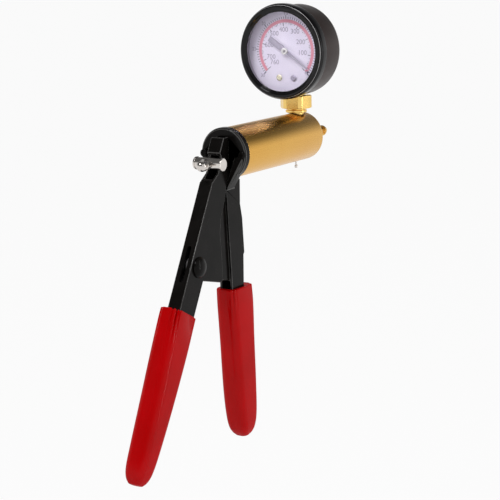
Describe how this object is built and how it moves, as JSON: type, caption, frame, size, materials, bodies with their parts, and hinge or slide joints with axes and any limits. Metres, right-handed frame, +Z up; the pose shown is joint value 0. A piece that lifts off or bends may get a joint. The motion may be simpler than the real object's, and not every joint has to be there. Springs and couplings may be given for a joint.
{
  "type": "hand vacuum pump",
  "caption": "Hand-held vacuum pump: squeeze lever, fixed handle with red grips, gold cylinder, black dial gauge and hose nozzle.",
  "frame": {"origin": "middle of the fixed handle's grip, where a hand holds the pump", "axes": "+X along the cylinder towards the hose nozzle, +Y to the left of the person who holds it, +Z up to the gauge"},
  "size_m": [0.1968, 0.052, 0.229],
  "materials": {
    "black_paint": "gloss",
    "gauge_black": "gloss",
    "gold_anodised": "satin",
    "brass": "satin",
    "bright_steel": "polished",
    "zinc_steel": "satin",
    "spring_steel": "satin",
    "red_vinyl": "gloss",
    "black_rubber": "matte",
    "white_plastic": "matte",
    "piston_alloy": "satin",
    "dial_enamel": "satin",
    "pointer_grey": "satin",
    "lens_glass": "polished"
  },
  "bodies": {
    "pump_body": {"handle_frame": "black_paint", "head_screw_left": "black_paint", "head_screw_right": "black_paint", "pivot_rivet": "black_paint", "pivot_bush": "zinc_steel", "fixed_grip": "red_vinyl", "cylinder_tube": "gold_anodised", "return_spring": "spring_steel", "release_spring": "spring_steel", "front_plug": "brass", "plug_seal_ring": "black_rubber", "inlet_flap": "black_rubber", "flap_stud": "zinc_steel", "hose_nozzle": "brass", "nozzle_washer": "black_rubber", "gauge_socket": "brass", "socket_washer": "black_rubber", "gauge_case": "gauge_black", "gauge_bezel": "gauge_black", "gauge_lens": "lens_glass", "lens_gasket": "white_plastic", "gauge_dial": "dial_enamel", "dial_screw_left": "brass", "dial_screw_right": "zinc_steel", "stop_pin": "zinc_steel", "movement_front_plate": "brass", "movement_back_plate": "brass", "movement_post_left": "brass", "movement_post_right": "brass", "movement_screw_left": "zinc_steel", "movement_screw_right": "zinc_steel", "link": "brass", "pressure_tube": "brass"},
    "lever_body": {"lever": "black_paint", "lever_grip": "red_vinyl"},
    "piston_body": {"piston_rod": "bright_steel", "cross_pin": "bright_steel", "cap_nut": "bright_steel", "piston": "piston_alloy", "piston_guide_ring": "white_plastic", "piston_cup_seal": "black_rubber", "cup_washer": "zinc_steel", "piston_screw": "zinc_steel"},
    "pointer_body": {"pointer": "pointer_grey", "pointer_hub": "white_plastic", "pinion_spindle": "zinc_steel"},
    "sector_body": {"sector_gear": "brass", "sector_axle": "zinc_steel"},
    "release_body": {"release_pin": "zinc_steel", "release_seal": "black_rubber"}
  },
  "joints": [
    {"name": "lever_pivot", "type": "hinge", "parent": "pump_body", "child": "lever_body", "pos_m": [-0.0407, 0, 0.0595], "axis": [0, -1, 0], "range_deg": [0, 28]},
    {"name": "rod_slide", "type": "slide", "parent": "pump_body", "child": "piston_body", "axis": [-1, 0, 0], "range_m": [0, 0.0258], "stiffness_N_per_m": 300, "springref_m": -0.008, "deforming": ["return_spring"]},
    {"name": "sector_turn", "type": "hinge", "parent": "pump_body", "child": "sector_body", "pos_m": [0.0604, 0, 0.147], "axis": [1, 0, 0], "range_deg": [0, 42.5], "stiffness_Nm_per_rad": 0.0005, "springref_deg": -11.46},
    {"name": "pointer_turn", "type": "hinge", "parent": "pump_body", "child": "pointer_body", "pos_m": [0.0553, 0, 0.161], "axis": [-1, 0, 0], "range_deg": [0, 255]},
    {"name": "release_push", "type": "slide", "parent": "pump_body", "child": "release_body", "axis": [0, 0, 1], "range_m": [0, 0.0012], "stiffness_N_per_m": 300, "springref_m": -0.002, "deforming": ["release_spring"]}
  ],
  "couplings": [
    {"joint": "rod_slide", "follows": "lever_pivot", "m_per_rad": 0.0523},
    {"joint": "pointer_turn", "follows": "sector_turn", "ratio": 6}
  ]
}
